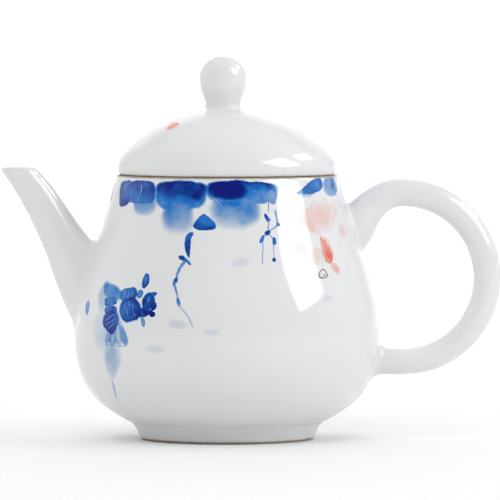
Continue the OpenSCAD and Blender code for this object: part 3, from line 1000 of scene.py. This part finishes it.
class TEAPOT_OT_handle(Operator):
    """Pull the ring handle and lute it on"""

    bl_idname = "teapot.handle"
    bl_label = "Handle"

    def execute(self, context):
        s, c = context.scene.teapot_sizes, context.scene.teapot_colours
        side = pot_side(s, 24)
        half = s.handle_thickness / 2
        broad = 1.08 * half
        bowl = s.rim_height - s.foot_height
        ring_x = s.belly_radius + s.ring_offset
        ring_z = s.foot_height + 0.586 * bowl
        r = s.ring_radius
        top, low = ring_z + r, ring_z - r
        root_z = top - 0.435 * r
        root_x = radius_at(side, root_z)
        dx, dz = ring_x - root_x, top - root_z
        arm_x = radius_at(side, low + 0.6 * MM)
        upper = [
            (root_x - 3.4 * MM, root_z - 1.9 * MM, 1.80 * half, 1.3 * half),
            (root_x, root_z + 0.4 * MM, 1.58 * half, 1.2 * half),
            (root_x + 0.17 * dx, root_z + 0.35 * dz, 1.34 * half, 1.14 * half),
            (root_x + 0.41 * dx, root_z + 0.70 * dz, 1.16 * half, 1.1 * half),
            (root_x + 0.70 * dx, root_z + 0.935 * dz, 1.07 * half, broad),
        ]
        ring = []
        for degrees in range(90, -91, -15):
            a = math.radians(degrees)
            swell = half * (1.005 + 0.035 * math.sin(a))
            ring.append((ring_x + r * math.cos(a), ring_z + r * math.sin(a), swell, broad))
        middle = pass_curve(upper + ring, 4)
        arm = pass_curve(
            [
                (arm_x - 3.5 * MM, low + 0.5 * MM, 1.10 * half, 1.15 * half),
                (arm_x - 0.5 * MM, low + 0.3 * MM, 1.03 * half, 1.1 * half),
                (arm_x + 2.2 * MM, low + 0.2 * MM, 0.99 * half, broad),
                (ring_x, low, 0.97 * half, broad),
            ],
            5,
        )
        sides = 28
        first = grown_root(middle, sides, side, 2.6 * MM, steps=6, spans=64)
        second = grown_root(arm, sides, side, 2.8 * MM, steps=6, spans=5)
        # the lower arm runs the other way, so its rings are turned to match
        second = [[ring[(sides // 2 - j) % sides] for j in range(sides)] for ring in second]
        rings = first + list(reversed(second[:-1]))
        bm = bmesh.new()
        join_rings(bm, rings, close_ends=False)
        glaze = porcelain("Handle porcelain", c)
        finish_piece(bm, "Handle", "pot", ["handle"], [glaze])
        return {"FINISHED"}


class TEAPOT_OT_lid(Operator):
    """Turn the lid: its dome, its locating ring and its knob"""

    bl_idname = "teapot.lid"
    bl_label = "Lid, Locating Ring and Knob"

    def execute(self, context):
        s, c = context.scene.teapot_sizes, context.scene.teapot_colours
        seat = s.rim_height
        top = dome_side(s)
        flange_in = s.flange_radius - 2.5 * MM
        under = [p for p in beside(top, -s.lid_thickness) if 1 * MM < p.x < flange_in - 0.6 * MM]
        crown = seat + s.dome_height
        profile = (
            [(0.0, crown)]
            + [(p.x, p.y) for p in reversed(top[:-1])]
            + [
                (s.neck_radius - 1.15 * MM, seat + 0.12 * MM),
                (s.neck_radius - 1.7 * MM, seat),
                (s.flange_radius + 0.3 * MM, seat),
                (flange_in + 0.4 * MM, seat),
                (flange_in, seat + 0.3 * MM),
                (flange_in - 0.1 * MM, seat + 1.5 * MM),
            ]
            + [(p.x, p.y) for p in under]
            + [(0.0, crown - s.lid_thickness)]
        )
        bm = bmesh.new()
        turn_profile(bm, profile, 128)
        drill(bm, Vector((0.0, s.vent_reach)), s.vent_radius)
        # the bare seat under the lid's edge also paints the shade of the seam, in warm tan
        glaze = porcelain("Lid porcelain", c, paint=lid_painting, bare_and_seam_shade_below=seat + 0.35 * MM)
        finish_piece(bm, "Lid_dome", "lid", ["lid_dome"], [glaze])

        low, out = seat - s.flange_depth, s.flange_radius
        ring = [
            (out, seat + 0.1 * MM),
            (out, seat - 0.6 * MM),
            (out, low + 0.9 * MM),
            (out - 0.12 * MM, low + 0.3 * MM),
            (out - 0.6 * MM, low),
            (flange_in + 0.6 * MM, low),
            (flange_in + 0.12 * MM, low + 0.3 * MM),
            (flange_in, low + 0.9 * MM),
            (flange_in, seat - 0.6 * MM),
            (flange_in, seat + 0.1 * MM),
        ]
        bm = bmesh.new()
        turn_profile(bm, ring + ring[:1], 128)
        rim = porcelain("Locating ring porcelain", c, bare_and_seam_shade_above=seat - 1.0 * MM)
        finish_piece(bm, "Locating_ring", "lid", ["lid_flange"], [rim])

        foot, k, h = crown - 0.6 * MM, s.knob_radius, s.knob_height
        flare = [p for p in top if p.x < 1.15 * k][0]
        body = soft_curve(
            [
                (flare.x, flare.y - 0.15 * MM),
                (0.86 * k, foot + 0.10 * MM),
                (0.70 * k, foot + 0.075 * h),
                (0.80 * k, foot + 0.23 * h),
                (0.99 * k, foot + 0.43 * h),
                (1.01 * k, foot + 0.63 * h),
                (0.93 * k, foot + 0.83 * h),
                (0.44 * k, foot + 1.02 * h),
                (0.0, crown + h),
            ],
            4,
        )
        bm = bmesh.new()
        root = [(0.0, foot - 0.9 * MM), (0.5 * flare.x, foot - 0.8 * MM)]
        turn_profile(bm, root + [(p.x, p.y) for p in body], 64)
        bmesh.ops.translate(bm, vec=(-s.knob_offset, 0, 0), verts=bm.verts)
        glaze = porcelain("Knob porcelain", c)
        finish_piece(bm, "Knob", "lid", ["lid_knob"], [glaze])
        return {"FINISHED"}


def soft_light(name, place, aim, width, height, power, roll=0, glows=True, shines=True):
    """An oblong lamp. It glows on what it lights and shines where the glaze mirrors it."""
    lamp = bpy.data.lights.new(name, "AREA")
    lamp.shape = "RECTANGLE"
    lamp.size, lamp.size_y = width, height
    lamp.energy = power
    item = bpy.data.objects.new(name, lamp)
    item.location = place
    facing = (Vector(aim) - Vector(place)).to_track_quat("-Z", "Y").to_matrix()
    item.rotation_euler = (facing @ Matrix.Rotation(math.radians(roll), 3, "Z")).to_euler()
    bpy.context.scene.collection.objects.link(item)
    item.visible_camera = False
    item.visible_diffuse = glows
    item.visible_glossy = shines


class TEAPOT_OT_studio(Operator):
    """Set the pale floor, the soft lights and the camera"""

    bl_idname = "teapot.studio"
    bl_label = "Studio"

    def execute(self, context):
        scene, s = context.scene, context.scene.teapot_studio
        bm = bmesh.new()
        bmesh.ops.create_grid(bm, x_segments=1, y_segments=1, size=3.0)
        back = [e for e in bm.edges if all(v.co.y > 0 for v in e.verts)]
        raised = bmesh.ops.extrude_edge_only(bm, edges=back)["geom"]
        raised = [part for part in raised if isinstance(part, bmesh.types.BMVert)]
        bmesh.ops.translate(bm, vec=(0, 0, 4.0), verts=raised)
        corner = [e for e in bm.edges if all(v.co.y > 2.9 and v.co.z < 0.1 for v in e.verts)]
        bmesh.ops.bevel(
            bm, geom=corner, offset=1.0, segments=16, profile=0.5, affect="EDGES", material=-1
        )
        mesh = bpy.data.meshes.new("Floor")
        bm.to_mesh(mesh)
        bm.free()
        for polygon in mesh.polygons:
            polygon.use_smooth = True
        floor = bpy.data.objects.new("Floor", mesh)
        scene.collection.objects.link(floor)
        paper = bpy.data.materials.new("Pale paper")
        paper.use_nodes = True
        w = Weave(paper.node_tree)
        grain, _ = w.noise(w.node("ShaderNodeTexCoord").outputs["Object"], 30.0, 2.0)
        shader = paper.node_tree.nodes["Principled BSDF"]
        w.feed(shader.inputs["Base Color"], w.blend(grain, (0.93, 0.93, 0.93), (0.95, 0.95, 0.95)))
        shader.inputs["Roughness"].default_value = 0.9
        mesh.materials.append(paper)

        world = bpy.data.worlds.new("Studio")
        world.use_nodes = True
        w = Weave(world.node_tree)
        _, towards, _ = w.split(w.node("ShaderNodeTexCoord").outputs["Generated"])
        sky = world.node_tree.nodes["Background"]
        sky.inputs["Color"].default_value = (0.99, 0.995, 1.0, 1.0)
        w.feed(sky.inputs["Strength"], w.ease(towards, -0.7, 0.5, 0.18, 1.0))
        scene.world = world

        middle = (0.0, 0.0, 0.055)
        soft_light("Window", (0.96, -0.41, 0.74), middle, 0.60, 0.78, 10.0, roll=12, glows=False)
        soft_light("Side window", (0.88, 0.31, 0.82), middle, 0.36, 0.26, 3.0, roll=-20, glows=False)
        soft_light("Window glow", (1.1, -0.5, 0.6), middle, 0.9, 0.7, 4.6, shines=False)
        soft_light("Front fill", (-0.5, -1.9, 2.0), middle, 2.4, 2.0, 33.0, shines=False)
        soft_light("Backdrop wash", (0.0, 1.4, 2.2), (0.0, 2.8, 1.2), 2.5, 1.2, 60.0, shines=False)

        camera = bpy.data.cameras.new("Camera")
        camera.sensor_width = 36.0
        eye = Vector((s.aim_x, -s.distance, s.height))
        aim = Vector((s.aim_x, 0.0, s.aim_z))
        camera.lens = 36.0 * (aim - eye).length / s.span
        camera.clip_end = 100.0
        item = bpy.data.objects.new("Camera", camera)
        item.location = eye
        item.rotation_euler = (aim - eye).to_track_quat("-Z", "Y").to_euler()
        scene.collection.objects.link(item)
        scene.camera = item
        scene.view_settings.view_transform = "Standard"
        return {"FINISHED"}


class TEAPOT_PT_panel(Panel):
    """Lists the pieces that can be built"""

    bl_idname = "TEAPOT_PT_panel"
    bl_label = "Porcelain Teapot"
    bl_space_type = "VIEW_3D"
    bl_region_type = "UI"
    bl_category = "Teapot"

    def draw(self, context):
        for step in STEPS:
            self.layout.operator(step.bl_idname)


STEPS = (TEAPOT_OT_pot, TEAPOT_OT_spout, TEAPOT_OT_handle, TEAPOT_OT_lid, TEAPOT_OT_studio)
CLASSES = (TeapotSizes, TeapotColours, StudioSettings) + STEPS + (TEAPOT_PT_panel,)


def register():
    for item in CLASSES:
        bpy.utils.register_class(item)
    bpy.types.Scene.teapot_sizes = PointerProperty(type=TeapotSizes)
    bpy.types.Scene.teapot_colours = PointerProperty(type=TeapotColours)
    bpy.types.Scene.teapot_studio = PointerProperty(type=StudioSettings)


def unregister():
    del bpy.types.Scene.teapot_studio
    del bpy.types.Scene.teapot_colours
    del bpy.types.Scene.teapot_sizes
    for item in reversed(CLASSES):
        bpy.utils.unregister_class(item)


def main():
    register()
    bpy.ops.teapot.pot()
    bpy.ops.teapot.spout()
    bpy.ops.teapot.handle()
    bpy.ops.teapot.lid()
    bpy.ops.teapot.studio()


if __name__ == "__main__":
    main()
